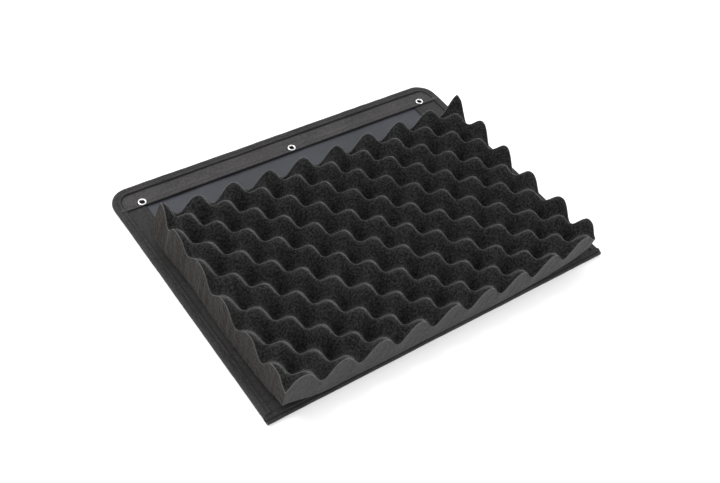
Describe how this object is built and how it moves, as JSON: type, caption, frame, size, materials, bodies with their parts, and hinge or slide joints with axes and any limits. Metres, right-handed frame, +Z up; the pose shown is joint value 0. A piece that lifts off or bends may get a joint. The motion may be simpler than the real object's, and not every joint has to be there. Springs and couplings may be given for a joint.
{
  "type": "case lid panel with convoluted foam pad",
  "caption": "Flat bound fabric panel with a document pocket and a row of eyelets along one edge, carrying a loose egg-crate foam pad.",
  "frame": {"origin": "centre of the bounding box at its lowest face, where the back of the panel rests", "axes": "+X along the panel's long side, +Y towards the edge with the eyelets, +Z up out of the foam side"},
  "size_m": [0.37, 0.275, 0.0391],
  "materials": {
    "cover_fabric": "woven black polyester cloth",
    "stiffener_plastic": "plain extruded sheet",
    "pocket_nylon": "coated bluish dark grey nylon",
    "band_fabric": "woven black polyester cloth, folded and stitched",
    "binding_tape": "ribbed black binding tape",
    "eyelet_nickel": "bright nickel plate",
    "foam": "open-cell charcoal polyurethane foam",
    "strip_black": "black hook-and-loop tape"
  },
  "bodies": {
    "panel": {"back_cover": "cover_fabric", "stiffener_board": "stiffener_plastic", "pocket_sheet": "pocket_nylon", "top_band": "band_fabric", "left_band": "band_fabric", "right_band": "band_fabric", "bottom_band": "band_fabric", "edge_binding": "binding_tape", "front_binding": "binding_tape", "eyelet_left": "eyelet_nickel", "eyelet_middle": "eyelet_nickel", "eyelet_right": "eyelet_nickel", "washer_left": "eyelet_nickel", "washer_middle": "eyelet_nickel", "washer_right": "eyelet_nickel", "loop_strip_left": "strip_black", "loop_strip_right": "strip_black"},
    "foam": {"foam_pad": "foam", "hook_strip_left": "strip_black", "hook_strip_right": "strip_black"}
  },
  "joints": [
    {"name": "foam_lift", "type": "slide", "parent": "panel", "child": "foam", "axis": [0, 0, 1], "range_m": [0, 0.06]}
  ]
}
